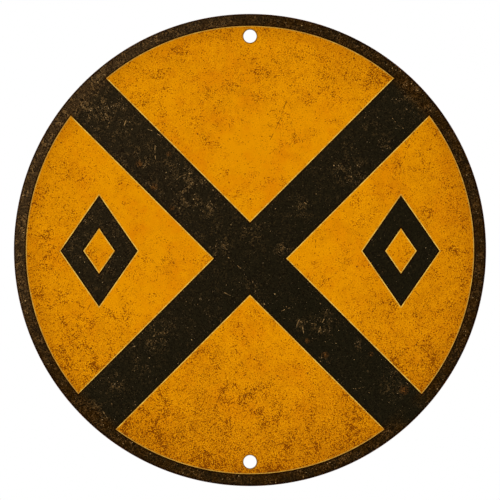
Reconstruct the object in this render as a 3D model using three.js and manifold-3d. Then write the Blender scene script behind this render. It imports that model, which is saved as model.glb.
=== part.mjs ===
// A round hanging sign of painted sheet steel: an amber face with a black border, a black diagonal cross
// and a black lozenge at each side, and a screw hole at the top and at the bottom.
// Millimetres, +Z up. The sign hangs upright and faces -Y. The origin is the middle of its back face,
// on the wall.
import * as THREE from "three";
import { mergeVertices } from "three/addons/utils/BufferGeometryUtils.js";
import Module from "manifold-3d";

// Sheet blank
const signDiameter = 304.8;
const sheetThickness = 0.8;
const edgeBreak = 0.15; // how far the cut edges of the blank are broken, on the rim and in the holes

// Coats of paint
const backCoatThickness = 0.1;
const amberCoatThickness = 0.12;
const blackCoatThickness = 0.1;

// Screw holes, on the upright middle line, each set in from the border's inner edge
const holeDiameter = 8.5;
const amberAboveTopHole = 2.4;
const amberBelowBottomHole = 3.7;

// Black figures on the face
const borderWidth = 7.6;
const crossArmWidth = 33;
const crossHeight = -5.5; // height of the middle of the cross over the middle of the sign
const lozengeWidth = 49.8;
const lozengeHeight = 71.9;
const lozengeStroke = 12.1;
const lozengeToRim = 30.1; // from the outer tip of each lozenge to the rim of the sign
const lozengeMiddleHeight = -0.6;

// Roundness, as counts of straight steps
const rimSteps = 180;
const holeSteps = 40;
const edgeBreakSteps = 2;

// Layers, from the wall forwards. Each face that two layers share is one value, so they meet exactly.
const signRadius = signDiameter / 2;
const wallLevel = 0;
const sheetBackLevel = wallLevel - backCoatThickness;
const sheetFrontLevel = sheetBackLevel - sheetThickness;
const amberFrontLevel = sheetFrontLevel - amberCoatThickness;
const blackFrontLevel = amberFrontLevel - blackCoatThickness;

// Outlines are drawn as the sign is seen from the front, x to the right and y up.
const coatRadius = signRadius - edgeBreak;
const borderInnerRadius = coatRadius - borderWidth;
const holeRadius = holeDiameter / 2;
const coatHoleRadius = holeRadius + edgeBreak;
const topHoleHeight = borderInnerRadius - amberAboveTopHole - holeRadius;
const bottomHoleHeight = holeRadius + amberBelowBottomHole - borderInnerRadius;
const holeHeights = [topHoleHeight, bottomHoleHeight];
const lozengeOffset = signRadius - lozengeToRim - lozengeWidth / 2;

function circlePoints(radius, steps, middleHeight = 0) {
  const points = [];
  for (let i = 0; i < steps; i++) {
    const turn = (i / steps) * 2 * Math.PI;
    points.push(new THREE.Vector2(radius * Math.cos(turn), middleHeight + radius * Math.sin(turn)));
  }
  return points;
}

function lozengePoints(middleX, halfWidth, halfHeight) {
  return [
    new THREE.Vector2(middleX + halfWidth, lozengeMiddleHeight),
    new THREE.Vector2(middleX, lozengeMiddleHeight + halfHeight),
    new THREE.Vector2(middleX - halfWidth, lozengeMiddleHeight),
    new THREE.Vector2(middleX, lozengeMiddleHeight - halfHeight),
  ];
}

function discShape(radius, screwHoleRadius) {
  const shape = new THREE.Shape(circlePoints(radius, rimSteps));
  for (const height of holeHeights) {
    shape.holes.push(new THREE.Path(circlePoints(screwHoleRadius, holeSteps, height)));
  }
  return shape;
}

// A flat layer of the outline between two levels of the sign, turned from the page to face -Y.
function flatLayer(shape, backLevel, frontLevel) {
  const geometry = new THREE.ExtrudeGeometry(shape, { depth: 1, bevelEnabled: false });
  const position = geometry.getAttribute("position");
  for (let i = 0; i < position.count; i++) {
    const level = position.getZ(i) === 0 ? backLevel : frontLevel;
    position.setXYZ(i, position.getX(i), level, position.getY(i));
  }
  geometry.computeVertexNormals();
  return geometry;
}

// The punched blank, with its rim and its holes broken at both faces. Its two faces take the shared
// levels exactly.
function blankGeometry() {
  const geometry = new THREE.ExtrudeGeometry(discShape(signRadius, holeRadius), {
    depth: sheetThickness - 2 * edgeBreak,
    bevelEnabled: true,
    bevelThickness: edgeBreak,
    bevelSize: edgeBreak,
    bevelOffset: -edgeBreak,
    bevelSegments: edgeBreakSteps,
  });
  geometry.computeBoundingBox();
  const { min, max } = geometry.boundingBox;
  const position = geometry.getAttribute("position");
  for (let i = 0; i < position.count; i++) {
    const depth = position.getZ(i);
    let level = sheetBackLevel - (depth - min.z);
    if (depth === min.z) {
      level = sheetBackLevel;
    } else if (depth === max.z) {
      level = sheetFrontLevel;
    }
    position.setXYZ(i, position.getX(i), level, position.getY(i));
  }
  geometry.computeVertexNormals();
  return geometry;
}

const wasm = await Module();
wasm.setup();

function toSolid(geometry) {
  const bare = geometry.clone();
  bare.deleteAttribute("normal");
  bare.deleteAttribute("uv");
  const merged = mergeVertices(bare);
  return new wasm.Manifold(
    new wasm.Mesh({
      numProp: 3,
      vertProperties: merged.getAttribute("position").array,
      triVerts: new Uint32Array(merged.index.array),
    }),
  );
}

function toGeometry(solid) {
  const mesh = solid.getMesh();
  const geometry = new THREE.BufferGeometry();
  geometry.setAttribute("position", new THREE.BufferAttribute(mesh.vertProperties, 3));
  geometry.setIndex(new THREE.BufferAttribute(mesh.triVerts, 1));
  geometry.computeVertexNormals();
  return geometry;
}

// One straight bar of the cross, longer than the sign is wide, leaning by the given angle.
function crossBarShape(lean) {
  const halfLength = signDiameter;
  const halfWidth = crossArmWidth / 2;
  const corners = [
    [halfLength, halfWidth],
    [-halfLength, halfWidth],
    [-halfLength, -halfWidth],
    [halfLength, -halfWidth],
  ];
  return new THREE.Shape(
    corners.map(([along, across]) => {
      const x = along * Math.cos(lean) - across * Math.sin(lean);
      const y = along * Math.sin(lean) + across * Math.cos(lean);
      return new THREE.Vector2(x, crossHeight + y);
    }),
  );
}

// The cross ends on the straight steps of the border's inner edge, so the two figures meet without a gap.
function crossGeometry() {
  const rising = toSolid(flatLayer(crossBarShape(Math.PI / 4), amberFrontLevel, blackFrontLevel));
  const falling = toSolid(flatLayer(crossBarShape(-Math.PI / 4), amberFrontLevel, blackFrontLevel));
  const window = new THREE.Shape(circlePoints(borderInnerRadius, rimSteps));
  const insideBorder = toSolid(flatLayer(window, amberFrontLevel, blackFrontLevel));
  return toGeometry(rising.add(falling).intersect(insideBorder));
}

function borderGeometry() {
  const shape = new THREE.Shape(circlePoints(coatRadius, rimSteps));
  shape.holes.push(new THREE.Path(circlePoints(borderInnerRadius, rimSteps)));
  return flatLayer(shape, amberFrontLevel, blackFrontLevel);
}

// A lozenge ring whose band is lozengeStroke wide, measured square to its sides.
function lozengeGeometry(middleX) {
  const halfWidth = lozengeWidth / 2;
  const halfHeight = lozengeHeight / 2;
  const middleToSide = (halfWidth * halfHeight) / Math.hypot(halfWidth, halfHeight);
  const innerShare = (middleToSide - lozengeStroke) / middleToSide;
  const shape = new THREE.Shape(lozengePoints(middleX, halfWidth, halfHeight));
  shape.holes.push(
    new THREE.Path(lozengePoints(middleX, halfWidth * innerShare, halfHeight * innerShare)),
  );
  return flatLayer(shape, amberFrontLevel, blackFrontLevel);
}

const bareSteel = new THREE.MeshStandardMaterial({ color: "#5c5148", roughness: 0.45, metalness: 0.9 });
const backPaint = new THREE.MeshStandardMaterial({ color: "#8e8c84", roughness: 0.6, metalness: 0.1 });
const amberPaint = new THREE.MeshStandardMaterial({ color: "#d98802", roughness: 0.5, metalness: 0 });
const blackPaint = new THREE.MeshStandardMaterial({ color: "#211b0f", roughness: 0.55, metalness: 0 });

const sign = new THREE.Group();

function addPiece(name, geometry, material) {
  const mesh = new THREE.Mesh(geometry, material);
  mesh.name = name;
  sign.add(mesh);
}

const coatShape = discShape(coatRadius, coatHoleRadius);
addPiece("steel_disc", blankGeometry(), bareSteel);
addPiece("back_coat", flatLayer(coatShape, wallLevel, sheetBackLevel), backPaint);
addPiece("amber_face_coat", flatLayer(coatShape, sheetFrontLevel, amberFrontLevel), amberPaint);
addPiece("black_border", borderGeometry(), blackPaint);
addPiece("black_cross", crossGeometry(), blackPaint);
addPiece("left_lozenge", lozengeGeometry(-lozengeOffset), blackPaint);
addPiece("right_lozenge", lozengeGeometry(lozengeOffset), blackPaint);

export default sign;
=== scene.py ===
# %% [markdown]
# # A worn round wall sign of painted sheet steel
# The real sign is one round of thin sheet steel. Grey enamel covers its back and amber enamel its face.
# Over the amber a border, a diagonal cross and two lozenge rings are printed in black. Years of weather
# have speckled it. The CAD model is the fixed frame of this lesson: each piece made here takes its place
# and its sizes from it, and gives what the plain solid lacks, such as ragged paint edges, rust flecks,
# scratches and a worn finish.

import math
import random

import bmesh
import bpy
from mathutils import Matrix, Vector, geometry
from mathutils import noise as perlin


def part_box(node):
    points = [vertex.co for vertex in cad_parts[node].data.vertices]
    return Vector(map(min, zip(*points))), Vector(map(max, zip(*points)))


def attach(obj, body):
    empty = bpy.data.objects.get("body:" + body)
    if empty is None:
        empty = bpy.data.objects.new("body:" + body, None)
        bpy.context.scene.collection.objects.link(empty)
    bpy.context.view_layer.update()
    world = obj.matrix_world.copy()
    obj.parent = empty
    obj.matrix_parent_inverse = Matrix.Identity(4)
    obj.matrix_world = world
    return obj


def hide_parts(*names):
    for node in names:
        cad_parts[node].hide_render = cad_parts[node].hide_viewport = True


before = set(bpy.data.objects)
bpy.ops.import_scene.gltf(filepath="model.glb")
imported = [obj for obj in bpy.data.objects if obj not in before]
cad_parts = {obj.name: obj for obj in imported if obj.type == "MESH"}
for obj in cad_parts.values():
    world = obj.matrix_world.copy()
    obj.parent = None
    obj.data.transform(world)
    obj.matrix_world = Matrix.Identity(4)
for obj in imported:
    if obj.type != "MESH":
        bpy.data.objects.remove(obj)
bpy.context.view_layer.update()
print("CAD nodes:", ", ".join(sorted(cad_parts)))

# %% [markdown]
# ## Sizes
# Everything is in metres. The sign hangs upright, faces -Y and has the wall at y = 0, so a level is a y
# value, and a lower level is further forward. The levels of the sheet and its coats come from the boxes
# of the CAD nodes. The sizes that a box can't tell, such as the width of a bar, are written here as on
# the drawing of the sign.

# %% Levels and sizes
MM = 0.001


def level_of(node, side):
    """The y value of the front (side 0) or the back (side 1) of a CAD node."""
    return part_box(node)[side][1]


SHEET_BACK = level_of("steel_disc", 1)
SHEET_FRONT = level_of("steel_disc", 0)
AMBER_FRONT = level_of("amber_face_coat", 0)
PRINT_FRONT = level_of("black_border", 0)
SIGN_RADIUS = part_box("steel_disc")[1][0]
EDGE_BREAK = 0.15 * MM
COAT_RADIUS = SIGN_RADIUS - EDGE_BREAK
BORDER_WIDTH = 7.6 * MM
BORDER_RADIUS = COAT_RADIUS - BORDER_WIDTH  # the border's inner edge
BAR_WIDTH = 33.0 * MM
CROSS_HEIGHT = -5.5 * MM
LOZENGE_STROKE = 12.1 * MM
HOLE_RADIUS = 4.25 * MM
HOLE_HEIGHTS = (138.0 * MM, -136.7 * MM)

lozenges = {}
for side in ("left", "right"):
    low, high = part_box(side + "_lozenge")
    half_width = (high[0] - low[0]) / 2
    half_height = (high[2] - low[2]) / 2
    lozenges[side] = {
        "x": (low[0] + high[0]) / 2,
        "z": (low[2] + high[2]) / 2,
        "half_width": half_width,
        "half_height": half_height,
        "middle_to_side": half_width * half_height / math.hypot(half_width, half_height),
    }
print(f"sign {2 * SIGN_RADIUS / MM:.1f} mm across, {-PRINT_FRONT / MM:.2f} mm thick with its coats")

# %% [markdown]
# ## Camera
# The photograph was taken straight from the front with a long lens, and the sign fills 472 of its 500
# pixels. A 135 mm lens is set back until the sign does so here too. The same scale turns a pixel of the
# photograph into a place on the sign, for the scratches and worn spots that are listed in pixels.

# %% Set the camera
PICTURE_PX = 500
SIGN_PX = 472.4
PX = 2 * SIGN_RADIUS / SIGN_PX
LENS = 135.0  # millimetres, as a camera's settings take them
SENSOR = 36.0


def from_photo(px, py):
    """The x and z on the sign of a pixel of the photograph."""
    return (px - PICTURE_PX / 2) * PX, (PICTURE_PX / 2 - py) * PX


camera_data = bpy.data.cameras.new("photo_camera")
camera_data.lens = LENS
camera_data.sensor_width = SENSOR
camera = bpy.data.objects.new("photo_camera", camera_data)
bpy.context.collection.objects.link(camera)
camera_distance = PICTURE_PX * PX * LENS / SENSOR
camera.location = (0, PRINT_FRONT - camera_distance, 0)
camera.rotation_euler = (math.radians(90), 0, 0)
bpy.context.scene.camera = camera
bpy.context.scene.view_settings.view_transform = "Standard"
print(f"camera {camera_distance:.3f} m from the face")

# %% [markdown]
# ## Sums on sockets
# Paint that has aged is a sum of many small effects. Written as a tree of nodes such a sum is hard to
# read, so one small class wraps a socket and lets Python's own signs add the Math nodes. A sign with a
# plain number on its left, as in 1 - mask, calls the turned form of its method. The node() method adds
# any other node: first its settings, then the values or links of its sockets. The same class serves
# shaders and Geometry Nodes.


# %% The Wire class
def adds(operation, turned=False):
    """A method that adds a Math node on a wire and one other value, which comes first if turned."""

    def method(self, other):
        return self.math(operation, other, self) if turned else self.math(operation, self, other)

    return method


class Wire:
    """One socket of a node tree. Python's signs add Math nodes, and node() adds any other node."""

    __add__ = adds("ADD")
    __radd__ = adds("ADD", turned=True)
    __sub__ = adds("SUBTRACT")
    __rsub__ = adds("SUBTRACT", turned=True)
    __mul__ = adds("MULTIPLY")
    __rmul__ = adds("MULTIPLY", turned=True)
    __truediv__ = adds("DIVIDE")
    __pow__ = adds("POWER")
    at_least = adds("MAXIMUM")
    at_most = adds("MINIMUM")

    def __init__(self, tree, socket=None):
        self.tree = tree
        self.socket = socket

    def node(self, kind, settings=None, sockets=None, out=0):
        """A new node in this wire's tree, and the wire of one of its outputs."""
        made = self.tree.nodes.new(kind)
        for name, value in (settings or {}).items():
            setattr(made, name, value)
        for key, value in (sockets or {}).items():
            if isinstance(value, Wire):
                self.tree.links.new(value.socket, made.inputs[key])
            else:
                made.inputs[key].default_value = value
        return Wire(self.tree, made.outputs[out] if made.outputs else None)

    def out(self, name):
        """Another output of the node that this wire comes from."""
        return Wire(self.tree, self.socket.node.outputs[name])

    def math(self, operation, *terms):
        """A Math node, or a Vector Math node where this wire is a vector or a colour."""
        kind = "ShaderNodeVectorMath" if self.socket.type in ("VECTOR", "RGBA") else "ShaderNodeMath"
        return self.node(kind, {"operation": operation}, dict(enumerate(terms)))

    def __abs__(self):
        return self.math("ABSOLUTE", self)

    def ramp(self, start, end, low=0.0, high=1.0):
        """A smooth step: low where this wire is at start, high where it is at end."""
        settings = {"interpolation_type": "SMOOTHSTEP"}
        sockets = {"Value": self, "From Min": start, "From Max": end, "To Min": low, "To Max": high}
        return self.node("ShaderNodeMapRange", settings, sockets)

    def blend(self, low, high):
        """The colour low where this wire is 0, and the colour high where it is 1."""
        return self.node("ShaderNodeMix", {"data_type": "RGBA"}, {0: self, 6: low, 7: high}, out=2)


# %% [markdown]
# ## Studio
# The sign hangs in soft, even light in front of nothing, as in the photograph. A white wall could stand
# behind it, but a white world needs no object and takes no shadow. Rays of the camera and reflections
# see it plain white, and the light that it throws on the sign is half as strong as that.

# %% White world
WHITE = (1.0, 1.0, 1.0, 1.0)
SOFT_LIGHT = 0.5

world = bpy.data.worlds.new("studio")
world.use_nodes = True
world.node_tree.nodes.clear()
bpy.context.scene.world = world
air = Wire(world.node_tree)
ray = air.node("ShaderNodeLightPath", out="Is Camera Ray")
sees_white = ray.at_least(ray.out("Is Glossy Ray")).at_least(ray.out("Is Transmission Ray"))
light = air.node("ShaderNodeBackground", None, {"Color": WHITE, "Strength": SOFT_LIGHT})
white = air.node("ShaderNodeBackground", None, {"Color": WHITE, "Strength": 1.0})
sky = air.node("ShaderNodeMixShader", None, {0: sees_white, 1: light, 2: white})
air.node("ShaderNodeOutputWorld", None, {"Surface": sky})
print("world: white to look at, with light at", SOFT_LIGHT)

# %% [markdown]
# Lamps give the rest of the light. A key lamp at the upper left and a fill at the right light the face, a
# back lamp the back, and a top lamp the floor. They are large squares of light, because a small lamp
# would leave a hard glint on flat paint.


# %% Lamps
def add_lamp(name, place, size, power):
    """A square lamp that looks at the middle of the sign."""
    data = bpy.data.lights.new(name, "AREA")
    data.size = size
    data.energy = power
    lamp = bpy.data.objects.new(name, data)
    bpy.context.collection.objects.link(lamp)
    lamp.location = place
    lamp.rotation_euler = (-Vector(place)).to_track_quat("-Z", "Y").to_euler()
    print(f"{name}: {power} W")


add_lamp("key_lamp", (-1.5, -2.4, 1.6), size=1.2, power=28.5)
add_lamp("fill_lamp", (1.9, -2.2, 0.3), size=1.4, power=18.0)
add_lamp("back_lamp", (0.9, 2.3, 1.5), size=1.4, power=55.0)
add_lamp("top_lamp", (0.0, 0.3, 2.4), size=1.6, power=30.0)

# %% [markdown]
# The colour of a paint is written here as a photograph gives it, from 0 to 255, and a small function
# turns it into the linear colour that a socket takes. A finish starts from the place on the sign, so the
# function that opens a new material hands it that place as a wire.


# %% Colours and new materials
def color(red, green, blue):
    """A colour of a photograph, 0 to 255, as the linear colour that a socket takes."""
    shares = [v / 255 for v in (red, green, blue)]
    return tuple(s / 12.92 if s <= 0.04045 else ((s + 0.055) / 1.055) ** 2.4 for s in shares) + (1.0,)


def new_finish(name):
    """A new material with an empty tree, and the wire that holds a place's Object coordinates."""
    material = bpy.data.materials.new(name)
    material.use_nodes = True
    material.node_tree.nodes.clear()
    return material, Wire(material.node_tree).node("ShaderNodeTexCoord", out="Object")


# %% [markdown]
# The floor takes the sign's soft shadow. An endless plane would show in the picture, so it is a plain
# pale square that lies below the photograph's view and ends before it would rise into it. Towards its
# ends it fades into the white, so that no view shows where it stops.

# %% Floor
FLOOR_DROP = 0.45
FLOOR_HALF_WIDTH = 1.5
FLOOR_FADE_START = 0.7

floor_paint, place = new_finish("floor_paint")
away = place.node("ShaderNodeVectorMath", {"operation": "LENGTH"}, {0: place}, out="Value")
seen = place.node("ShaderNodeLightPath", out="Is Camera Ray")
faded = away.ramp(FLOOR_FADE_START, FLOOR_HALF_WIDTH) * seen
matt = place.node("ShaderNodeBsdfDiffuse", None, {"Color": color(242, 242, 240)})
white = place.node("ShaderNodeEmission", None, {"Color": WHITE, "Strength": 1.0})
shader = place.node("ShaderNodeMixShader", None, {0: faded, 1: matt, 2: white})
place.node("ShaderNodeOutputMaterial", None, {"Surface": shader})
floor_mesh = bpy.data.meshes.new("floor")
w = FLOOR_HALF_WIDTH
corners = [(-w, -w, -FLOOR_DROP), (w, -w, -FLOOR_DROP), (w, w, -FLOOR_DROP), (-w, w, -FLOOR_DROP)]
floor_mesh.from_pydata(corners, [], [(0, 1, 2, 3)])
floor_mesh.materials.append(floor_paint)
floor = bpy.data.objects.new("floor", floor_mesh)
bpy.context.collection.objects.link(floor)
print("floor:", FLOOR_DROP, "m below the middle of the sign")

# %% [markdown]
# ## Where the print and the wear are
# Two questions come up again and again, in the finishes and when flecks are scattered: is a place on
# black print or on amber, and how worn is it? Both are answered by sums on the place alone. The print's
# figures are straight and round, so the distance to their nearest edge is a short formula. A painted mask
# could hold the figures too, but its edges would blur close up.


# %% Sums for the print
def split(place):
    """The x and the z of a place, as two wires."""
    x = place.node("ShaderNodeSeparateXYZ", None, {0: place})
    return x, x.out("Z")


def length(x, z):
    """How far x and z lead across the sign."""
    return (x * x + z * z) ** 0.5


def highest(wires):
    """The highest value of a list of wires."""
    top, *others = wires
    for other in others:
        top = top.at_least(other)
    return top


def border_and_cross(x, z):
    """How far a place lies inside the border and inside each bar, for wires and for numbers alike."""
    depths = [length(x, z) - BORDER_RADIUS]
    rise = z - CROSS_HEIGHT
    for across in (rise - x, rise + x):
        depths.append(BAR_WIDTH / 2 - abs(across) * math.sqrt(0.5))
    return depths


def print_depth(x, z):
    """How far a place lies inside the black print, in metres. It is below zero on the amber."""
    depths = border_and_cross(x, z)
    for lozenge in lozenges.values():
        sideways = abs(x - lozenge["x"]) / lozenge["half_width"]
        upwards = abs(z - lozenge["z"]) / lozenge["half_height"]
        ring_middle = lozenge["middle_to_side"] - LOZENGE_STROKE / 2
        off_middle = abs((sideways + upwards) * lozenge["middle_to_side"] - ring_middle)
        depths.append(LOZENGE_STROKE / 2 - off_middle)
    return highest(depths)


def near_holes(x, z, start, end):
    """1 nearer than start to a hole's middle, and 0 past end."""
    return highest([length(x, z - height).ramp(start, end, 1.0, 0.0) for height in HOLE_HEIGHTS])


# %% [markdown]
# Wear comes from noise and from round spots. The spots follow the photograph roughly: the worn and the
# rusty places of the black print, and the one place where the border is as black as the cross. Each is a
# pixel and a reach in pixels. The finish breaks the worn and the rusty spots up with noise, so that their
# round outlines don't show.

# %% Sums for the wear
WORN_PLACES_PX = (
    (414, 97, 20), (98, 412, 12), (99, 107, 20), (137, 164, 14), (190, 190, 20), (350, 172, 18),
    (387, 143, 9), (345, 145, 9), (141, 366, 10), (157, 334, 20), (395, 383, 17), (300, 325, 9),
    (323, 325, 16), (325, 357, 8), (358, 346, 8), (221, 246, 12), (252, 284, 9), (254, 236, 13),
    (284, 250, 10), (306, 208, 10), (208, 206, 12), (116, 386, 12), (370, 128, 10), (262, 300, 8),
    (222, 322, 6),
)
RUSTY_PLACES_PX = (
    (139, 164, 4), (169, 154, 3), (172, 208, 3), (154, 187, 4), (325, 355, 4), (371, 354, 3),
    (404, 390, 5), (307, 341, 3),
)
BLACK_PLACES_PX = ((412, 412, 22),)
SPOT_CORE = 0.2  # the share of a spot's reach up to which it is full
SPOT_END = 1.3  # the share of its reach at which it ends


def noise_at(place, period, detail=2.0, roughness=0.5, warp=0.0, shift=0.0):
    """Soft noise, mostly 0.3 to 0.7, whose features are about a period across."""
    if shift:
        place = place + (shift, shift, shift)
    sockets = {"Vector": place, "Scale": 1 / period, "Detail": detail, "Roughness": roughness,
               "Distortion": warp}
    return place.node("ShaderNodeTexNoise", None, sockets)


def nearness(place, spots_px):
    """1 in the middle of the nearest spot and 0 off all of them. A spot is its px, py and reach."""
    near = []
    for px, py, reach in spots_px:
        x, z = from_photo(px, py)
        sockets = {0: place, 1: (x, 0, z)}
        away = place.node("ShaderNodeVectorMath", {"operation": "DISTANCE"}, sockets, out="Value")
        near.append(away.ramp(SPOT_CORE * reach * PX, SPOT_END * reach * PX, 1.0, 0.0))
    return highest(near)


def amber_patches(place):
    """Where dirt and rust gather on the amber, from 0 to 1."""
    clusters = noise_at(place, 24 * MM, 2.0, 0.5, 0.8, 4.0).ramp(0.4, 0.6, 0.3, 1.0)
    return noise_at(place, 9 * MM, 4.0, 0.78, 0.5, 3.1).ramp(0.44, 0.66) * clusters


def print_patches(place):
    """Where the black print wears through, from 0 to 1."""
    return noise_at(place, 6 * MM, 4.0, 0.8, 0.5).ramp(0.42, 0.66)


def face_grime_and_shade(place, x, z):
    """How grimy and shaded the face is, from 0 near the middle to about 1 at the rim and the bottom. It is
    lower on the left, which is painted light.
    """
    away = length(x, z)
    outward = away.ramp(0.35 * SIGN_RADIUS, 1.0 * SIGN_RADIUS) * 0.6
    at_border = away.ramp(0.84 * SIGN_RADIUS, 0.94 * SIGN_RADIUS) * 0.12
    downward = z.ramp(0.3 * SIGN_RADIUS, -0.95 * SIGN_RADIUS) * 0.68 - 0.12
    # painted light: the face is made lighter on the left
    leftward = x.ramp(-0.2 * SIGN_RADIUS, -0.7 * SIGN_RADIUS) * 0.16
    return outward + at_border + downward - leftward + (noise_at(place, 45 * MM, 3.0) - 0.5)


print(len(WORN_PLACES_PX), "worn places and", len(RUSTY_PLACES_PX), "rusty ones on the print")

# %% [markdown]
# ## Finishes
# Each finish below is one function, and each ends in the same shader. The paint is matt and old, so it
# reflects little: its Specular IOR Level is low and set on the shader itself. Colour, roughness and a
# little relief vary with the place.

# %% The shader that all finishes share
def finish(material, place, base, roughness, relief=None, height=0.05 * MM, metallic=0.0, specular=0.1):
    """Ends a material in one Principled shader and gives it back. height is that of its relief."""
    sockets = {"Base Color": base, "Roughness": roughness, "Metallic": metallic,
               "Specular IOR Level": specular}
    if relief is not None:
        bump = {"Strength": 1.0, "Distance": height, "Height": relief}
        sockets["Normal"] = place.node("ShaderNodeBump", None, bump)
    shader = place.node("ShaderNodeBsdfPrincipled", None, sockets)
    place.node("ShaderNodeOutputMaterial", None, {"Surface": shader})
    print("finish:", material.name, len(material.node_tree.nodes), "nodes")
    return material


# %% [markdown]
# The amber enamel was one flat colour when it was new. Now it is clean and even in the middle and grimier
# to the rim and the bottom, with a duller band along the border and painted shade round the holes. It is
# also painted lighter on the left and darker to the right, as painted light and shade. Fine dark specks,
# one or two pixels wide in the photograph, gather in clusters of one to three centimetres, among soft
# brown mottling and thin curled marks, and smoky clouds lie over it all. A painted picture could hold
# these marks, but noise stays sharp at any distance and never repeats, so each kind of mark is noise at
# its own size, laid on as a colour.

# %% Amber enamel
AMBER_LIGHT = color(245, 166, 0)
AMBER_DARK = color(192, 108, 0)
AMBER_WARM = color(208, 114, 0)
AMBER_GRIMY = color(160, 88, 0)
AMBER_PALE = color(246, 174, 34)
AMBER_RUSTY = color(160, 76, 0)
SPECK_BROWN = color(100, 38, 0)
# painted shade: the dark ring round the holes
HOLE_SHADE = color(98, 66, 16)


def amber_enamel():
    material, place = new_finish("amber_enamel")
    x, z = split(place)
    grime_and_shade = face_grime_and_shade(place, x, z)
    patches = amber_patches(place)
    soil = patches * (grime_and_shade * 0.4 + 0.6) + grime_and_shade * 0.5
    at_border = length(x, z).ramp(BORDER_RADIUS - 10 * MM, BORDER_RADIUS - 2 * MM)
    at_holes = near_holes(x, z, HOLE_RADIUS + 0.2 * MM, HOLE_RADIUS + 1.3 * MM)
    # Marks of four millimetres and less
    fine = noise_at(place, 0.8 * MM, 1.0, 0.8, 0.0, 1.7) - 0.5
    grain = noise_at(place, 0.62 * MM, 1.0, 0.9, 0.0, 9.2).ramp(0.34, 0.66) - 0.5
    specks = (fine + soil * 0.2).ramp(0.14, 0.25)
    mottle = noise_at(place, 1.7 * MM, 3.0, 0.7, 0.0, 15.0).ramp(0.46, 0.62)
    curls = abs(noise_at(place, 4 * MM, 2.0, 0.6, 0.8, 23.0) - 0.5).ramp(0.0, 0.05, 1.0, 0.0)
    curls = curls * (fine * 4 + 0.6) * patches
    # Clouds of half a centimetre to two and a half
    smoke = noise_at(place, 22 * MM, 3.0, 0.7, 0.3, 13.0) - 0.5
    # painted shade: the clouds grow darker towards the right
    smoke = smoke * 0.9 + x.ramp(0.1 * SIGN_RADIUS, 0.95 * SIGN_RADIUS) * 0.25
    blotches = noise_at(place, 4.5 * MM, 1.0, 0.5, 0.0, 21.0).ramp(0.46, 0.66) - 0.3
    film = (patches * 0.1 + grime_and_shade * 0.6 + smoke + blotches * 0.3).at_most(1.0)
    tone = noise_at(place, 24 * MM, 5.0, 0.7, 0.0, 7.7).ramp(0.42, 0.7)
    # Colours, one over the other
    base = (0.5 + grain * (soil * 1.5 + 0.25)).blend(AMBER_DARK, AMBER_LIGHT)
    base = (tone * (0.56 - grime_and_shade * 0.3)).blend(base, AMBER_WARM)
    base = (film * 0.5).blend(base, AMBER_GRIMY)
    base = (at_border * 0.25).blend(base, AMBER_GRIMY)
    base = (mottle * soil * 0.35).at_least(curls * 0.8).blend(base, AMBER_RUSTY)
    base = (grain.ramp(0.2, 0.5) * soil * 0.5).blend(base, AMBER_PALE)
    base = (specks * 0.85).blend(base, SPECK_BROWN)
    # painted shade: a dark ring round the holes
    base = (at_holes * 0.65).blend(base, HOLE_SHADE)
    return finish(material, place, base, specks.ramp(0.0, 1.0, 0.5, 0.8), specks * -1.0, specular=0.01)


amber_enamel_finish = amber_enamel()

# %% [markdown]
# The black print is a thin matt ink. The border is browner than the cross, and the one turns softly into
# the other at the ends of the arms. Both are painted lighter towards the upper left, as painted light, and
# are worn most there. In the worn places brown grains, curled hairlines and fine pale specks show, and a
# few spots are rusty. Along its edges the ink lies thick and has a reddish dark line, and the rim is
# darkest where the least light comes, as painted shade. The wear is colour on the film and not holes in
# it, because its grains are finer than the steps of a mesh.

# %% Black print
INK = color(26, 22, 10)
# painted light: the lighter ink of the upper left
INK_LIT = color(74, 56, 36)
INK_DEEP = color(4, 0, 0)
INK_BROWN = color(122, 92, 52)
INK_BORDER = color(40, 23, 1)
INK_RUSTY = color(104, 72, 36)
INK_EDGE = color(24, 6, 0)
INK_RUST = color(98, 60, 22)
INK_SPECK = color(184, 152, 108)


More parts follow.
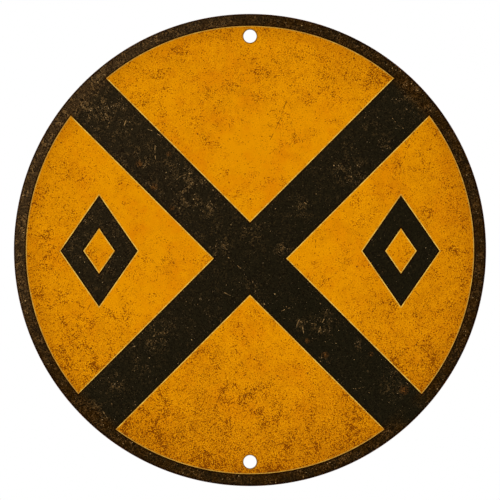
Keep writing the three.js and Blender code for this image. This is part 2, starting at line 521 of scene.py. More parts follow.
def black_print():
    material, place = new_finish("black_print")
    x, z = split(place)
    away = length(x, z)
    to_rim = COAT_RADIUS - away
    on_border = away.ramp(BORDER_RADIUS - 6 * MM, BORDER_RADIUS + 1.5 * MM)
    on_border = on_border * (1 - nearness(place, BLACK_PLACES_PX))
    # Painted light and shade: lighter to the upper left, the rim darkest at the lower right
    lit_side_and_wear = (z - x).ramp(-0.6 * SIGN_RADIUS, 1.4 * SIGN_RADIUS)
    lit_border_and_wear = (z * 0.5 - x * 0.87).ramp(0.3 * SIGN_RADIUS, 1.0 * SIGN_RADIUS)
    lit_side_and_wear = lit_side_and_wear + (lit_border_and_wear - lit_side_and_wear) * on_border
    shaded = (z - x).ramp(0.1 * SIGN_RADIUS, 0.9 * SIGN_RADIUS, 1.0, 0.0)
    rim = to_rim.ramp(0.4 * MM, 1.9 * MM, 1.0, 0.0) * shaded
    edge = print_depth(x, z).at_most(to_rim).ramp(0.2 * MM, 1.3 * MM, 1.0, 0.0)
    # Wear
    rusty = nearness(place, RUSTY_PLACES_PX)
    wear = nearness(place, WORN_PLACES_PX) * (0.56 - on_border * 0.46)
    wear = wear + lit_side_and_wear * (0.45 - on_border * 0.2) + on_border * 0.42 + 0.08
    worn = print_patches(place) * wear + on_border * 0.15
    grain = noise_at(place, 0.8 * MM, 1.0, 0.9, 0.0, 5.0)
    fine = noise_at(place, 1.0 * MM, 2.0, 0.8, 0.0, 11.0) - 0.5
    curls = abs(noise_at(place, 5 * MM, 1.0, 0.5, 0.6, 2.2) - 0.5).ramp(0.0, 0.03, 1.0, 0.0)
    grains = (grain + worn * 0.1).ramp(0.55, 0.66) * (on_border * 0.3 + 0.7)
    grains = grains.at_least(curls * grain.ramp(0.42, 0.58) * 1.2)
    specks = (fine + worn * (0.13 - on_border * 0.08)).ramp(0.2, 0.26)
    # Colours, one over the other
    brown = noise_at(place, 8 * MM, 2.0, 0.5, 0.0, 17.0).ramp(0.4, 0.6, 0.5, 1.0)
    warm = on_border * (1 - lit_side_and_wear * 0.8)
    base = (on_border * brown).blend(INK, INK_BORDER)
    # painted light: the upper left is made lighter
    base = (lit_side_and_wear * (on_border * 0.28 + 0.16)).blend(base, INK_LIT)
    base = (grain.ramp(0.52, 0.38) * (worn * 0.4 + 0.55)).blend(base, INK_DEEP)
    base = (worn.at_most(1.0) * grains).blend(base, warm.blend(INK_BROWN, INK_RUSTY))
    base = (rusty * grain.ramp(0.42, 0.62)).blend(base, INK_RUST)
    base = (rim * 0.6).blend(base, INK_DEEP)
    base = (specks * 0.85).blend(base, INK_SPECK)
    base = (edge * 0.9).blend(base, INK_EDGE)
    relief = specks - worn * grain
    return finish(material, place, base, worn.ramp(0.0, 1.0, 0.55, 0.8), relief, specular=0.01)


black_print_finish = black_print()

# %% [markdown]
# Bare steel shows only on the rim and inside the two holes. It is dark, dull and rusty. One noise says
# where the rust is, and takes the metal out of the shader there, because rust doesn't shine. In the holes
# the face's enamel has run over the broken front edge, and that edge is painted dark amber as shade. The
# flecks of rust that stand on the paint have a finish of their own, since they are all rust.

# %% Bare steel and rust
STEEL_DARK = color(62, 56, 50)
RUST_DARK = color(52, 28, 12)
RUST_LIGHT = color(128, 66, 20)
FLECK_DARK = color(66, 30, 4)
FLECK_LIGHT = color(132, 72, 8)


def bare_steel():
    material, place = new_finish("bare_steel")
    x, z = split(place)
    blotch = noise_at(place, 5 * MM, 5.0, 0.7)
    rusty = blotch.ramp(0.42, 0.6)
    rust = noise_at(place, 1.2 * MM, 3.0, 0.7).ramp(0.35, 0.7).blend(RUST_DARK, RUST_LIGHT)
    at_front = x.out("Y").ramp(SHEET_FRONT + 0.35 * MM, SHEET_FRONT + 0.15 * MM)
    painted = at_front * length(x, z).ramp(0.97 * SIGN_RADIUS, 0.96 * SIGN_RADIUS)
    # the enamelled edge in the holes takes the painted shade
    base = painted.blend(rusty.blend(STEEL_DARK, rust), HOLE_SHADE)
    metal = rusty.ramp(0.0, 1.0, 0.8, 0.0) * (1 - painted)
    return finish(material, place, base, rusty.ramp(0.0, 1.0, 0.45, 0.9), blotch, 0.03 * MM, metal, 0.3)


def rust_fleck():
    material, place = new_finish("rust_fleck")
    base = noise_at(place, 2 * MM, 4.0, 0.7).ramp(0.35, 0.65).blend(FLECK_DARK, FLECK_LIGHT)
    return finish(material, place, base, 0.85, specular=0.05)


bare_steel_finish = bare_steel()
rust_fleck_finish = rust_fleck()

# %% [markdown]
# The back has a thin grey wash of enamel, as cheap signs do. It is chalky, and stained round the holes
# and along the rim, where damp creeps in, and rusty water has run down from the holes. The rest has only
# faint marks: soft clouds, and fine straight brush lines from the wash. The brush lines and the runs are
# noise on a place that is squashed upwards, which draws the noise out into streaks.

# %% Back enamel
BACK_GREY = color(158, 155, 146)
BACK_CLOUD = color(142, 138, 127)
BACK_STAIN = color(116, 96, 70)
BACK_BRUSHED = color(172, 169, 161)
BACK_RUN = color(126, 88, 52)
RUN_LENGTH = 46 * MM
STREAKED = (1.0, 1.0, 0.03)


def runs_below_holes(x, z, wander):
    """1 in the middle of the rusty runs under the holes, and 0 off them."""
    runs = []
    for height in HOLE_HEIGHTS:
        below = height - z
        narrow = abs(x + wander * 2.5 * MM).ramp(0.3 * HOLE_RADIUS, 1.2 * HOLE_RADIUS, 1.0, 0.0)
        dry = below.ramp(0.2 * RUN_LENGTH, RUN_LENGTH, 1.0, 0.0)
        runs.append(below.ramp(0.6 * HOLE_RADIUS, 1.2 * HOLE_RADIUS) * dry * narrow)
    return highest(runs)


def back_enamel():
    material, place = new_finish("back_enamel")
    x, z = split(place)
    near_rim = length(x, z).ramp(0.86 * SIGN_RADIUS, 1.0 * SIGN_RADIUS)
    near = near_rim.at_least(near_holes(x, z, 1.0 * HOLE_RADIUS, 4.5 * HOLE_RADIUS))
    # Stains and rust
    fine = noise_at(place, 1.6 * MM, 3.0, 0.75, 0.0, 2.0)
    damp = noise_at(place, 16 * MM, 5.0, 0.7, 0.0, 4.4)
    stain = near * 0.55 + (damp - 0.5) * 1.4 + (fine - 0.5) * 0.6
    stain = stain.ramp(0.1, 0.8) * near.ramp(0.0, 0.4)
    rust = (near * 0.22 + (damp - 0.5) * 0.5 + fine).ramp(0.7, 0.8)
    # Streaks
    streaked = place.node("ShaderNodeMapping", None, {"Vector": place, "Scale": STREAKED})
    brushed = noise_at(streaked, 1.5 * MM, 3.0, 0.7).ramp(0.4, 0.7)
    streams = noise_at(streaked, 2.2 * MM, 3.0, 0.6, 0.0, 8.6).ramp(0.42, 0.62)
    runs = runs_below_holes(x, z, noise_at(place, 9 * MM, 2.0, 0.5, 0.0, 1.3) - 0.5)
    # Colours, one over the other
    clouds = noise_at(place, 34 * MM, 5.0, 0.6)
    mottled = noise_at(place, 3.2 * MM, 4.0, 0.75, 0.6, 6.1).ramp(0.4, 0.66)
    base = clouds.ramp(0.35, 0.65).blend(BACK_GREY, BACK_CLOUD)
    base = (brushed * 0.28).blend(base, BACK_BRUSHED)
    base = (mottled * clouds * 0.5).blend(base, BACK_STAIN)
    base = stain.blend(base, BACK_STAIN)
    base = (runs * streams * 0.75).blend(base, BACK_RUN)
    base = (rust * 0.85).blend(base, RUST_DARK)
    relief = rust + brushed * 0.15
    return finish(material, place, base, stain.ramp(0.0, 1.0, 0.6, 0.8), relief, specular=0.2)


back_enamel_finish = back_enamel()

# %% [markdown]
# ## Plates
# Sheet, coats and print are all flat plates, so one function makes them. It takes closed outlines (the
# first is the outer one, the others are holes) and a profile of insets and levels that runs from the
# hidden face to the one that shows. Outlines are drawn as seen from the front, x to the right and z up.
# An outer one runs counter-clockwise and a hole clockwise, so that an inset always moves away from the
# material's edge. Solidify and Bevel could give such plates too, but here each step of the edge and the
# map are known and can be set. In its own UV map for baked textures the face that shows lies flat at one
# scale, its walls unfold outwards round it, and the hidden face is small in an empty place.

# %% Outlines
EDGE_GRAIN = 1.1 * MM  # the size of the bumps in an ink edge


def circle(radius, steps, height=0.0, hole=False, change=None):
    """A round outline. change gives how much the radius changes at a turn."""
    points = []
    for i in range(steps):
        turn = 2 * math.pi * i / steps
        if hole:
            turn = -turn
        r = radius + (change(turn) if change else 0.0)
        points.append((r * math.cos(turn), height + r * math.sin(turn)))
    return points


def inset(outline, distance):
    """The outline with each side moved into the material by the distance."""
    moved = []
    for i, (x, z) in enumerate(outline):
        back = Vector(outline[i - 1])
        ahead = Vector(outline[(i + 1) % len(outline)])
        here = Vector((x, z))
        before = (here - back).normalized()
        after = (ahead - here).normalized()
        inward = Vector((-before.y - after.y, before.x + after.x))
        inward *= distance * 2 / inward.length_squared
        moved.append((x + inward.x, z + inward.y))
    return moved


def rough(outline, step, depth, seed):
    """The outline cut into short steps, with an uneven edge like that of ink."""
    points = []
    for i, here in enumerate(outline):
        here = Vector(here)
        ahead = Vector(outline[(i + 1) % len(outline)])
        side = ahead - here
        outward = Vector((side.y, -side.x)).normalized()
        count = max(1, round(side.length / step))
        for k in range(count):
            point = here + side * (k / count)
            at = Vector((point.x, point.y, seed)) / EDGE_GRAIN
            shift = depth * perlin.fractal(at, 1.0, 2.0, 3) if k else 0.0
            points.append(tuple(point + outward * shift))
    return points


# %% A plate
BAKE_MAP = "OFBake"
MAP_REACH = 0.485  # how far a plate's shown face reaches from the middle of its map
HIDDEN_SCALE = 0.12  # the share of that scale at which the hidden face is laid
WALL_SPREAD = 2.0  # how many times wider than real the walls unfold


def plate(outlines, profile, hidden_place=(0.07, 0.07)):
    """A closed mesh from outlines and a profile of (inset, level) steps, with its UV map."""
    xs = [x for x, z in outlines[0]]
    zs = [z for x, z in outlines[0]]
    middle = Vector((min(xs) + max(xs), min(zs) + max(zs))) / 2
    scale = MAP_REACH / max(max(xs) - middle.x, max(zs) - middle.y)
    shown_inset = profile[-1][0]
    unfolded = [0.0]
    for (d1, l1), (d2, l2) in zip(profile[::-1], profile[-2::-1]):
        unfolded.insert(0, unfolded[0] + math.hypot(d2 - d1, l2 - l1))

    # The walls, and where each of their points lies when they are unfolded
    points = []
    flat = []
    faces = []
    rings = len(profile)
    for outline in outlines:
        count = len(outline)
        first = len(points)
        for k, (distance, level) in enumerate(profile):
            points += [(x, level, z) for x, z in inset(outline, distance)]
            flat += inset(outline, shown_inset - WALL_SPREAD * unfolded[k])
        for k in range(rings - 1):
            for i in range(count):
                j = (i + 1) % count
                low = first + k * count
                faces.append((low + i, low + j, low + count + j, low + count + i))
    walls = len(faces)

    # The hidden face, then the one that shows
    for k in (0, rings - 1):
        loops = []
        index = []
        first = 0
        for outline in outlines:
            count = len(outline)
            numbers = range(first + k * count, first + (k + 1) * count)
            index += numbers
            loops.append([Vector((points[n][0], points[n][2], 0.0)) for n in numbers])
            first += rings * count
        faces += [(index[a], index[b], index[c]) for a, b, c in geometry.tessellate_polygon(loops)]
        if k == 0:
            hidden = len(faces)

    # The mesh and its map
    mesh = bpy.data.meshes.new("plate")
    mesh.from_pydata(points, [], faces)
    work = bmesh.new()
    work.from_mesh(mesh)
    bmesh.ops.recalc_face_normals(work, faces=work.faces)
    uv_map = work.loops.layers.uv.new(BAKE_MAP)
    for number, face in enumerate(work.faces):
        for corner in face.loops:
            n = corner.vert.index
            if walls <= number < hidden:
                place = Vector((points[n][0], points[n][2])) - middle
                corner[uv_map].uv = place * scale * HIDDEN_SCALE + Vector(hidden_place)
            else:
                corner[uv_map].uv = (Vector(flat[n]) - middle) * scale + Vector((0.5, 0.5))
    work.to_mesh(mesh)
    work.free()
    return mesh


# %% [markdown]
# No edge of sheet or paint is sharp, so the profile of a plate ends in a quarter round at the face that
# shows. The finished mesh becomes a piece: it rides on the frame's one body, takes its material, and
# stands for the CAD nodes that it covers.


# %% Rounded edges and pieces
def rounded(hidden_level, shown_level, radius, hidden_radius=0.0, steps=3):
    """A plate's profile, its edge rounded at the face that shows, and at the hidden one too if asked."""
    way = 1 if shown_level > hidden_level else -1
    profile = []
    if hidden_radius:
        for k in range(steps):
            turn = math.pi / 2 * k / steps
            rise = hidden_radius * (1 - math.cos(turn))
            profile.append((hidden_radius * (1 - math.sin(turn)), hidden_level + way * rise))
        hidden_level += way * hidden_radius
    profile.append((0.0, hidden_level))
    for k in range(steps + 1):
        turn = math.pi / 2 * k / steps
        profile.append((radius * (1 - math.cos(turn)), shown_level - way * radius * (1 - math.sin(turn))))
    return profile


def add_piece(name, mesh, material, slot, *nodes):
    """Makes the mesh a piece that rides on the root body and stands for the CAD nodes named."""
    mesh.name = name
    mesh.materials.clear()
    mesh.materials.append(material)
    piece = bpy.data.objects.new(name, mesh)
    bpy.context.collection.objects.link(piece)
    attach(piece, "root")
    if nodes:
        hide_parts(*nodes)
    print(f"{name}: {len(mesh.polygons)} faces")


# %% [markdown]
# ## Blank
# The blank is punched from sheet steel, and its cut edges are broken a little at both faces, on the rim
# and in the holes. The CAD solid could serve, but it has 180 straight steps round its rim. This one has
# four times as many, so that its outline stays round close up.

# %% Steel blank
RIM_STEPS = 720
HOLE_STEPS = 96

outlines = [circle(SIGN_RADIUS, RIM_STEPS)]
outlines += [circle(HOLE_RADIUS, HOLE_STEPS, height, hole=True) for height in HOLE_HEIGHTS]
blank = plate(outlines, rounded(SHEET_BACK, SHEET_FRONT, EDGE_BREAK, EDGE_BREAK))
add_piece("steel_blank", blank, bare_steel_finish, "sheet_steel", "steel_disc")

# %% [markdown]
# ## Enamel coats
# Paint chips where the sheet was punched, so the edges of the coats are ragged, most of all round the
# holes at the back. Smooth noise on the turn gives the ragged edge, and a power of it gives few deep
# chips among many shallow ones.

# %% Face and back enamel
SINK = 0.02 * MM  # how far a layer reaches into the one below, so that no two faces coincide
BACK_LEVEL = -0.03 * MM  # the back enamel's face, which leaves room for its rust
FACE_SEED = 1.3
BACK_SEED = 5.9


def chips(seed, depth, per_turn, keen=3.0):
    """A ragged edge: a function from a turn to how far the paint is chipped back there."""

    def chipped(turn):
        at = Vector((per_turn * math.cos(turn), per_turn * math.sin(turn), seed))
        unevenness = 0.5 + 0.5 * perlin.fractal(at, 1.0, 2.0, 4)
        return depth * min(max(unevenness, 0.0), 1.0) ** keen

    return chipped


def chipped_rim(radius, seed):
    rim_chips = chips(seed, depth=0.5 * MM, per_turn=9.0)
    return circle(radius, RIM_STEPS, change=lambda turn: -rim_chips(turn))


def coat_outlines(seed, hole_chip_depth):
    """The chipped rim and the two chipped holes of a coat."""
    outlines = [chipped_rim(COAT_RADIUS, seed)]
    for k, height in enumerate(HOLE_HEIGHTS):
        hole_chips = chips(seed + 3.7 * (k + 1), hole_chip_depth, per_turn=1.6, keen=2.0)
        hole = circle(HOLE_RADIUS + EDGE_BREAK, HOLE_STEPS, height, hole=True, change=hole_chips)
        outlines.append(hole)
    return outlines


face_outlines = coat_outlines(FACE_SEED, hole_chip_depth=0.25 * MM)
face = plate(face_outlines, rounded(SHEET_FRONT + SINK, AMBER_FRONT, radius=0.06 * MM))
add_piece("amber_enamel_coat", face, amber_enamel_finish, "amber_enamel", "amber_face_coat")
back_outlines = coat_outlines(BACK_SEED, hole_chip_depth=1.6 * MM)
back = plate(back_outlines, rounded(SHEET_BACK - SINK, BACK_LEVEL, radius=0.04 * MM))
add_piece("grey_back_enamel", back, back_enamel_finish, "back_paint", "back_coat")

# %% [markdown]
# ## Black print
# The border, the cross and the lozenge rings are ink films over the amber. A picture on the enamel could
# show them, but as plates of their own they have real edges. Ink draws up into a small round bead at its
# edge, so each plate's front edge is rounded, and its outline is a little uneven. The cross reaches under
# the border, and both lie at one level, so that the two read as one print.

# %% The figures of the print
ARM_STEPS = 24


def along(turn, reach):
    """A way across the sign, as long as reach, in the direction of the turn."""
    return Vector((reach * math.cos(turn), reach * math.sin(turn)))


def reach_circle(start, turn, radius):
    """Where a line from the start, leaving at the turn, meets the circle round the sign's middle."""
    way = along(turn, 1.0)
    middle = start.dot(way)
    return start + way * (-middle + math.sqrt(middle * middle - start.length_squared + radius * radius))


def arc(first, last, steps):
    """Points on the circle round the sign's middle, counter-clockwise from the first to the last."""
    start_turn = math.atan2(first.y, first.x)
    end_turn = math.atan2(last.y, last.x)
    if end_turn < start_turn:
        end_turn += 2 * math.pi
    turns = [start_turn + (end_turn - start_turn) * k / steps for k in range(steps + 1)]
    return [tuple(along(turn, first.length)) for turn in turns]


def cross_corner(turn):
    """The corner between two arms of the cross, in the direction of the turn."""
    return Vector((0.0, CROSS_HEIGHT)) + along(turn, BAR_WIDTH / math.sqrt(2))


def cross_outline(radius):
    """The cross, its four arms ending on a circle."""
    points = []
    for quarter in range(4):
        turn = quarter * math.pi / 2
        arm = turn + math.pi / 4
        corner = cross_corner(turn)
        next_corner = cross_corner(turn + math.pi / 2)
        points.append(tuple(corner))
        points += arc(reach_circle(corner, arm, radius), reach_circle(next_corner, arm, radius), ARM_STEPS)
    return points


def lozenge_outlines(lozenge):
    """The outer and the inner outline of a lozenge ring."""
    outlines = []
    for share in (1.0, 1 - LOZENGE_STROKE / lozenge["middle_to_side"]):
        half_width = lozenge["half_width"] * share
        half_height = lozenge["half_height"] * share
        tips = [(1, 0), (0, 1), (-1, 0), (0, -1)]
        outlines.append([(lozenge["x"] + u * half_width, lozenge["z"] + v * half_height) for u, v in tips])
    outer, inner = outlines
    return [outer, inner[::-1]]


# %% Border, cross and lozenges
PRINT_LEVEL = PRINT_FRONT + 0.02 * MM  # leaves room for the flecks on it
INK_STEP = 0.8 * MM
INK_UNEVENNESS = 0.05 * MM
BORDER_STEPS = 360
UNDER_BORDER = 0.3 * MM  # how far the cross reaches under the border
CROSS_HIDDEN_PLACE = (0.5, 0.08)  # a free place in the map, between two arms

ink_profile = rounded(AMBER_FRONT + SINK, PRINT_LEVEL, radius=0.07 * MM, steps=2)


def ink_edge(outline, seed):
    return rough(outline, INK_STEP, INK_UNEVENNESS, seed)


def add_print(name, node, outlines, *hidden_place):
    figure = plate(outlines, ink_profile, *hidden_place)
    add_piece(name, figure, black_print_finish, "black_enamel", node)


border_rim = chipped_rim(COAT_RADIUS - 0.03 * MM, FACE_SEED)
border_inside = ink_edge(circle(BORDER_RADIUS, BORDER_STEPS, hole=True), seed=1.0)
add_print("border_print", "black_border", [border_rim, border_inside])
cross = ink_edge(cross_outline(BORDER_RADIUS + UNDER_BORDER), seed=2.0)
add_print("cross_print", "black_cross", [cross], CROSS_HIDDEN_PLACE)
for side, lozenge in lozenges.items():
    rings = [ink_edge(outline, seed=3.0) for outline in lozenge_outlines(lozenge)]
    add_print(side + "_lozenge_print", side + "_lozenge", rings)

# %% [markdown]
# ## Lines that follow a path
# A pale hairline of bare ground shows between the amber and each black figure, scratches run over the
# paint, and a burr stands round each hole at the back, where the punch came out. All three are thin beads
# that follow a path. Curve objects with a bevel could make them, but one Geometry Nodes tree serves for
# all, each with its own values. Four functions come first: they open a tree with named inputs, end it,
# run it on a mesh, and make the result a piece.


# %% Geometry Nodes: trees and what grows from them
def new_tree(name, **inputs):
    """A new Geometry Nodes tree with named inputs, numbers or materials, and the wire of its inputs."""
    tree = bpy.data.node_groups.new(name, "GeometryNodeTree")
    tree.interface.new_socket("Geometry", in_out="INPUT", socket_type="NodeSocketGeometry")
    for title, value in inputs.items():
        kind = {float: "NodeSocketFloat", int: "NodeSocketInt"}.get(type(value), "NodeSocketMaterial")
        socket = tree.interface.new_socket(title, in_out="INPUT", socket_type=kind)
        if value is not None:
            socket.default_value = value
    tree.interface.new_socket("Geometry", in_out="OUTPUT", socket_type="NodeSocketGeometry")
    return tree, Wire(tree).node("NodeGroupInput")


def end_tree(given, shape):
    """Ends a tree with the finish that it was given."""
    sockets = {"Geometry": shape, "Material": given.out("finish")}
    given.node("NodeGroupOutput", None, {0: given.node("GeometryNodeSetMaterial", None, sockets)})


def grow(tree, mesh, **values):
    """Runs the tree on a mesh with the given inputs and gives the result as a plain mesh."""
    carrier = bpy.data.objects.new("carrier", mesh)
    bpy.context.collection.objects.link(carrier)
    modifier = carrier.modifiers.new("grow", "NODES")
    modifier.node_group = tree
    for item in tree.interface.items_tree:
        if item.in_out == "INPUT" and item.name in values:
            modifier[item.identifier] = values[item.name]
    evaluated = carrier.evaluated_get(bpy.context.evaluated_depsgraph_get())
    result = bpy.data.meshes.new_from_object(evaluated)
    carrier.modifiers.remove(modifier)
    bpy.data.objects.remove(carrier)
    return result


def add_grown(name, tree, mesh, material, slot, **values):
    """Runs the tree on a mesh and makes the result a piece."""
    add_piece(name, grow(tree, mesh, finish=material, **values), material, slot)


# %% [markdown]
# The tree of the beads turns the edges of a mesh into curves, sweeps a flat round profile along them and
# can taper the ends. The curve's normal is set to the sign's front, so that the profile lies flat on it.

# %% Geometry Nodes: a bead along edges
bead_tree, given = new_tree("bead_along_edges", width=0.5 * MM, height=0.1 * MM, taper=0.0, finish=None)
path = given.node("GeometryNodeMeshToCurve", None, {"Mesh": given})
path = path.node("GeometryNodeSetCurveNormal", {"mode": "FREE"}, {"Curve": path, "Normal": (0, -1, 0)})
ring = given.node("GeometryNodeCurvePrimitiveCircle", None, {"Resolution": 8, "Radius": 0.5})
stretch = given.node("ShaderNodeCombineXYZ", None, {0: given.out("height"), 1: given.out("width"), 2: 1.0})
ring = given.node("GeometryNodeTransform", None, {"Geometry": ring, "Scale": stretch})
share = given.node("GeometryNodeSplineParameter", out="Factor")
swell = (share * (1 - share) * 4).at_least(0.0) ** 0.5
swell = 1 - given.out("taper") * (1 - swell)
sockets = {"Curve": path, "Profile Curve": ring, "Scale": swell.at_least(0.02), "Fill Caps": True}
bead = given.node("GeometryNodeCurveToMesh", None, sockets)
end_tree(given, given.node("GeometryNodeRealizeInstances", None, {"Geometry": bead}))
print("tree:", bead_tree.name, len(bead_tree.nodes), "nodes")

# %% [markdown]
# The paths are plain meshes of points and edges. A long straight side gets a point close to each of its
# corners, because the sweep turns its profile at a corner point and would thin the bead all along a side
# with no others.


# %% Paths as meshes
def path_mesh(paths, level, closed=True):
    """A mesh of edges from lists of (x, z) points at one level."""
    points = []
    edges = []
    for one in paths:
        first = len(points)
        points += [(x, level, z) for x, z in one]
        edges += [(first + i, first + i + 1) for i in range(len(one) - 1)]
        if closed:
            edges.append((len(points) - 1, first))
    mesh = bpy.data.meshes.new("path")
    mesh.from_pydata(points, edges, [])
    return mesh


# %% [markdown]
# The pale line runs round each field of amber that shows: four between the arms of the cross, and one
# outside and one inside each lozenge ring. It could be a stripe in the amber's finish, but a bead keeps
# a clean edge on both sides. It is dirtier along the border.

# %% Pale line round the print
LINE_WIDTH = 0.55 * MM
LINE_STEP = 2 * MM
LINE_UNEVENNESS = 0.03 * MM
LINE_PALE = color(230, 192, 84)
LINE_DULL = color(196, 148, 50)
LINE_GRIMY = color(164, 116, 44)
FIELD_STEPS = 180


def amber_fields():
    """The outlines of the amber that shows."""
    fields = []
    for quarter in range(4):
        turn = quarter * math.pi / 2
        corner = cross_corner(turn)
        first = reach_circle(corner, turn - math.pi / 4, BORDER_RADIUS)
        last = reach_circle(corner, turn + math.pi / 4, BORDER_RADIUS)
        fields.append([tuple(corner)] + arc(first, last, FIELD_STEPS))
    for lozenge in lozenges.values():
        fields += [outline[::-1] for outline in lozenge_outlines(lozenge)]
    return fields


def pale_line():
    material, place = new_finish("pale_line")
    at_border = length(*split(place)).ramp(BORDER_RADIUS - 3 * MM, BORDER_RADIUS - 1 * MM)
    patchy = (noise_at(place, 6 * MM, 5.0, 0.75) + at_border * 0.06).ramp(0.42, 0.62)
    base = (at_border * 0.5).blend(patchy.blend(LINE_PALE, LINE_DULL), LINE_GRIMY)
    return finish(material, place, base, patchy.ramp(0.0, 1.0, 0.5, 0.7), patchy, 0.02 * MM, specular=0.05)


lines = [inset(field, 0.6 * LINE_WIDTH) for field in amber_fields()]
lines = [rough(line, LINE_STEP, LINE_UNEVENNESS, seed=4.0) for line in lines]
add_grown("print_edge_line", bead_tree, path_mesh(lines, AMBER_FRONT), pale_line(), "amber_enamel",
          width=LINE_WIDTH, height=0.08 * MM)

# %% [markdown]
# ## Scratches
# Two dark scratches on the amber and ten pale ones on the black are placed from the photograph.
# Others are scattered: short, thin and slightly bent, as grit leaves them. Grit skips over paint, so each
# scratch is broken into short strokes with gaps between. Drawn in the finish they would blur into the
# other marks, so each stroke is a bead of its own.

# %% Where scratches run
AMBER_SCRATCHES_PX = (
    ((287, 100), (284, 107), (281, 117), (276, 128), (272, 136), (269, 142)),
    ((231, 398), (229, 410), (230, 424), (233, 436)),
)
INK_SCRATCHES_PX = (
    ((296, 328), (298, 322), (300, 319), (302, 325), (304, 335)),
    ((327, 309), (324, 319), (320, 328), (318, 334)),
    ((353, 389), (360, 388), (366, 387)),
    ((363, 372), (368, 371), (371, 375), (373, 378)),
    ((226, 256), (232, 260), (239, 267), (245, 271)),
    ((304, 202), (308, 205)),
    ((176, 180), (181, 176), (187, 174), (193, 173)),
    ((194, 201), (197, 206), (200, 199)),
    ((155, 145), (155, 154), (156, 165)),
    ((392, 118), (399, 126), (409, 132)),
)
BENDS = 5  # how many straight lengths a scattered scratch has


def placed_scratches(scratches_px):
    return [[from_photo(*px) for px in scratch] for scratch in scratches_px]


def scattered_scratches(count, seed, inside_print):
    """Short scratches at random, all on the cross or all off it and off the border."""
    dice = random.Random(seed)
    found = []
    while len(found) < count:
        start = along(dice.uniform(0, 2 * math.pi), SIGN_RADIUS * 0.93 * math.sqrt(dice.random()))
        turn = dice.uniform(0, 2 * math.pi)
        bend = dice.uniform(-0.08, 0.08)
        step = dice.uniform(3, 11) * MM / BENDS
        points = [start]
        for k in range(BENDS):
            points.append(points[-1] + along(turn + bend * k + dice.uniform(-0.12, 0.12), step))
        depths = [max(border_and_cross(*point)) for point in points]
        clear = min(depths) > 1.0 * MM if inside_print else max(depths) < -1.2 * MM
        if clear and all(point.length < BORDER_RADIUS - 1 * MM for point in points):
            found.append(points)
    return found


# %% Scratches on the face
STROKE_STEP = 0.6 * MM
STROKE_SHAKE = 0.07 * MM
GAP_CHANCE = 0.2


def strokes(scratches):
    """All the scratches, each in short uneven strokes with gaps between."""
    found = []
    for seed, scratch in enumerate(scratches):
        dice = random.Random(seed)
        found.append([])
        for here, ahead in zip(scratch, scratch[1:]):
            here = Vector(here)
            ahead = Vector(ahead)
            count = max(1, round((ahead - here).length / STROKE_STEP))
            for k in range(count):
                shake = along(dice.uniform(0, 2 * math.pi), STROKE_SHAKE)
                if dice.random() < GAP_CHANCE:
                    found.append([])
                else:
                    found[-1].append(tuple(here.lerp(ahead, k / count) + shake))
    return [stroke for stroke in found if len(stroke) > 1]


def scratch_finish(name, pale, dark):
    material, place = new_finish(name)
    patchy = noise_at(place, 1.6 * MM, 3.0, 0.8)
    base = patchy.ramp(0.42, 0.58).blend(pale, dark)
    return finish(material, place, base, 0.75, patchy, 0.02 * MM, specular=0.03)


def add_scratches(name, scratches, level, material, slot, **sizes):
    mesh = path_mesh(strokes(scratches), level, closed=False)
    add_grown(name, bead_tree, mesh, material, slot, taper=1.0, **sizes)


dark_scratch_finish = scratch_finish("dark_scratch", color(160, 92, 6), color(96, 46, 2))
pale_scratch_finish = scratch_finish("pale_scratch", color(164, 128, 78), color(66, 50, 28))
on_amber = placed_scratches(AMBER_SCRATCHES_PX)
on_amber += scattered_scratches(count=12, seed=21, inside_print=False)
add_scratches("amber_scratches", on_amber, AMBER_FRONT, dark_scratch_finish, "amber_enamel",
              width=0.45 * MM, height=0.05 * MM)
on_ink = placed_scratches(INK_SCRATCHES_PX)
on_ink += scattered_scratches(count=9, seed=22, inside_print=True)
add_scratches("print_scratches", on_ink, PRINT_LEVEL, pale_scratch_finish, "black_enamel",
              width=0.4 * MM, height=0.035 * MM)

# %% [markdown]
# The back has rubbed on nails and brick. Its scratches are longer, lie mostly upright and go down to the
# dull steel.

# %% Scratches on the back
HOLE_CLEARANCE = 8 * MM
RIM_CLEARANCE = 2 * MM
LONG_BENDS = 6


def is_clear(point):
    """Whether a point keeps off the holes and the rim."""
    off_holes = all((point - Vector((0, height))).length > HOLE_CLEARANCE for height in HOLE_HEIGHTS)
    return off_holes and point.length < COAT_RADIUS - RIM_CLEARANCE


def long_scratches(tries, seed):
    """Long, mostly upright scratches at random. A try that nears a hole or the rim is dropped."""
    dice = random.Random(seed)
    found = []
    for _ in range(tries):
        points = [along(dice.uniform(0, 2 * math.pi), SIGN_RADIUS * 0.85 * math.sqrt(dice.random()))]
        turn = dice.gauss(math.pi / 2, 0.5)
        step = dice.uniform(8, 45) * MM / LONG_BENDS
        for _ in range(LONG_BENDS):
            turn += dice.uniform(-0.05, 0.05)
            points.append(points[-1] + along(turn, step))
        if all(is_clear(point) for point in points):
            found.append(points)
    return found


on_back = long_scratches(tries=46, seed=31)
add_scratches("back_scratches", on_back, BACK_LEVEL, bare_steel_finish, "back_paint",
              width=0.3 * MM, height=0.05 * MM)

# %% [markdown]
# The burrs at the back are rings of torn steel, so their paths waver a little. The noise that chips the
# coats gives the waver too.

# %% Burrs round the holes
burr_paths = []
for k, height in enumerate(HOLE_HEIGHTS):
    waver = chips(8.1 + k, depth=0.12 * MM, per_turn=3.0, keen=1.0)
    burr_paths.append(circle(HOLE_RADIUS + 0.1 * MM, HOLE_STEPS, height, change=waver))
add_grown("hole_burrs", bead_tree, path_mesh(burr_paths, SHEET_BACK + 0.03 * MM), bare_steel_finish,
          "sheet_steel", width=0.16 * MM, height=0.12 * MM)
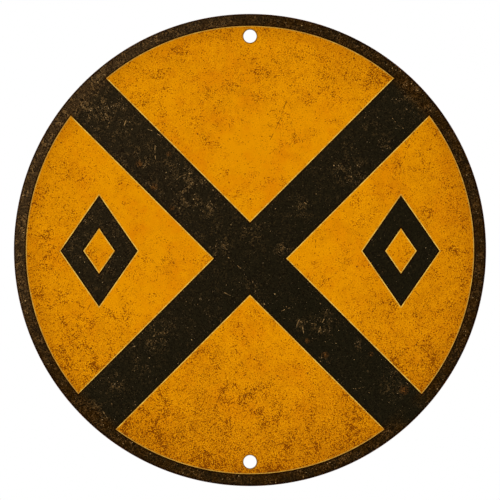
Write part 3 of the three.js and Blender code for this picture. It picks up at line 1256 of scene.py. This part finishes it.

# %% [markdown]
# ## Flecks
# Rust has come through the paint in single flecks that stand a little proud: thousands of them, densest
# where the face is grimy and painted in shade. A particle system could scatter them, but a second
# Geometry Nodes tree can use the same sums as the finishes. It spreads points evenly over a round field,
# keeps each point with a chance that a sum of the place gives, sets a flat many-sided grain on each,
# turned and sized at random, and moves its corners a little so that no two are alike.

# %% Geometry Nodes: flecks
CORNER_GRAIN = 0.4 * MM  # the size of the noise that moves the corners of a fleck
CORNER_SHIFT = 0.35 * MM
SCATTER_RADIUS = COAT_RADIUS - 1 * MM
SCATTER_SIDES = 64


def fleck_tree(name, chance):
    """chance is a function from a place, its x and its z to the share of flecks that stay there."""
    inputs = {"density": 1000.0, "largest": 1 * MM, "smallest": 0.2 * MM, "thickness": 0.05 * MM}
    tree, given = new_tree(name, **inputs, seed=1, finish=None)

    def dice(low, high, number):
        sockets = {2: low, 3: high, "Seed": given.out("seed") + number}
        return given.node("FunctionNodeRandomValue", {"data_type": "FLOAT"}, sockets, out=1)

    # Points, and which of them stay
    sockets = {"Mesh": given, "Density": given.out("density"), "Seed": given.out("seed")}
    points = given.node("GeometryNodeDistributePointsOnFaces", None, sockets)
    place = given.node("GeometryNodeInputPosition")
    dropped = dice(0.0, 1.0, 1) - chance(place, *split(place))
    sockets = {"Geometry": points, "Selection": dropped.math("GREATER_THAN", dropped, 0.0)}
    points = given.node("GeometryNodeDeleteGeometry", {"domain": "POINT"}, sockets)

    # A grain on each, sized and turned at random: few are large
    smallest = given.out("smallest")
    size = smallest + (given.out("largest") - smallest) * dice(0.0, 1.0, 2) ** 3.0
    narrow = size * dice(0.45, 1.0, 3)
    sockets = {0: size * 0.5, 1: given.out("thickness") * 0.5, 2: narrow * 0.5}
    scale = given.node("ShaderNodeCombineXYZ", None, sockets)
    turn = given.node("ShaderNodeCombineXYZ", None, {1: dice(0.0, 2 * math.pi, 4)})
    grain = given.node("GeometryNodeMeshIcoSphere", None, {"Radius": 1.0, "Subdivisions": 1})
    sockets = {"Points": points, "Instance": grain, "Rotation": turn, "Scale": scale}
    grains = given.node("GeometryNodeInstanceOnPoints", None, sockets)
    grains = given.node("GeometryNodeRealizeInstances", None, {"Geometry": grains})

    # Corners moved along the face
    sockets = {"Vector": place, "Scale": 1 / CORNER_GRAIN, "Detail": 0.0}
    shake = given.node("ShaderNodeTexNoise", None, sockets, out=1) - (0.5, 0.5, 0.5)
    shake = shake * (CORNER_SHIFT, 0.0, CORNER_SHIFT)
    end_tree(given, given.node("GeometryNodeSetPosition", None, {"Geometry": grains, "Offset": shake}))
    return tree


def round_field(level, turned=False):
    """A plain disc to scatter on."""
    outline = circle(SCATTER_RADIUS, SCATTER_SIDES)
    if turned:
        outline.reverse()
    mesh = bpy.data.meshes.new("field")
    mesh.from_pydata([(x, level, z) for x, z in outline], [], [tuple(range(len(outline)))])
    return mesh


# %% [markdown]
# On the amber the flecks keep off the print and off the holes, and gather in the patches that the
# enamel's own specks gather in. On the print they are pale chips, most of them in its worn places and on
# the border.


# %% Flecks on the face
def rust_chance(place, x, z):
    on_amber = print_depth(x, z).ramp(-1.4 * MM, -1.0 * MM, 1.0, 0.0)
    off_holes = 1 - near_holes(x, z, HOLE_RADIUS + 1 * MM, HOLE_RADIUS + 1.2 * MM)
    # more flecks where the face is grimy and where it is painted in shade
    grimy_and_shaded = face_grime_and_shade(place, x, z) * 0.8 + 0.2
    return (amber_patches(place) * 0.5 + 0.03) * grimy_and_shaded * on_amber * off_holes


def chip_chance(place, x, z):
    on_ink = print_depth(x, z).ramp(0.8 * MM, 1.2 * MM)
    on_border = length(x, z).ramp(BORDER_RADIUS, BORDER_RADIUS + 1 * MM)
    wear = nearness(place, WORN_PLACES_PX) * 0.6 + on_border * 0.4
    return (print_patches(place) * wear + 0.05) * on_ink


rust_tree = fleck_tree("rust_flecks", rust_chance)
add_grown("face_rust_flecks", rust_tree, round_field(AMBER_FRONT), rust_fleck_finish, "amber_enamel",
          density=0.16 / MM**2, largest=1.5 * MM, smallest=0.3 * MM, thickness=0.07 * MM, seed=11)
chip_tree = fleck_tree("print_chips", chip_chance)
print_chip_finish = scratch_finish("print_chip", color(168, 136, 88), color(92, 68, 40))
add_grown("print_chips", chip_tree, round_field(PRINT_LEVEL), print_chip_finish, "black_enamel",
          density=0.14 / MM**2, largest=1.1 * MM, smallest=0.25 * MM, thickness=0.035 * MM, seed=12)

# %% [markdown]
# At the back rust gathers round the holes and along the rim, where the coat is chipped. The field is
# turned round there, so that its points lie on the side that looks at the wall.


# %% Flecks on the back
def back_rust_chance(place, x, z):
    near_rim = length(x, z).ramp(0.8 * SIGN_RADIUS, 1.0 * SIGN_RADIUS)
    near = near_rim.at_least(near_holes(x, z, HOLE_RADIUS, 4 * HOLE_RADIUS))
    patches = noise_at(place, 9 * MM, 4.0, 0.7, 0.5, 6.3).ramp(0.48, 0.66)
    off_holes = 1 - near_holes(x, z, HOLE_RADIUS + 1.5 * MM, HOLE_RADIUS + 1.7 * MM)
    return patches * (near * 0.7 + 0.06) * off_holes


back_tree = fleck_tree("back_rust_flecks", back_rust_chance)
back_field = round_field(BACK_LEVEL, turned=True)
add_grown("back_rust_flecks", back_tree, back_field, rust_fleck_finish, "back_paint",
          density=0.12 / MM**2, largest=2.0 * MM, smallest=0.3 * MM, thickness=0.055 * MM, seed=13)
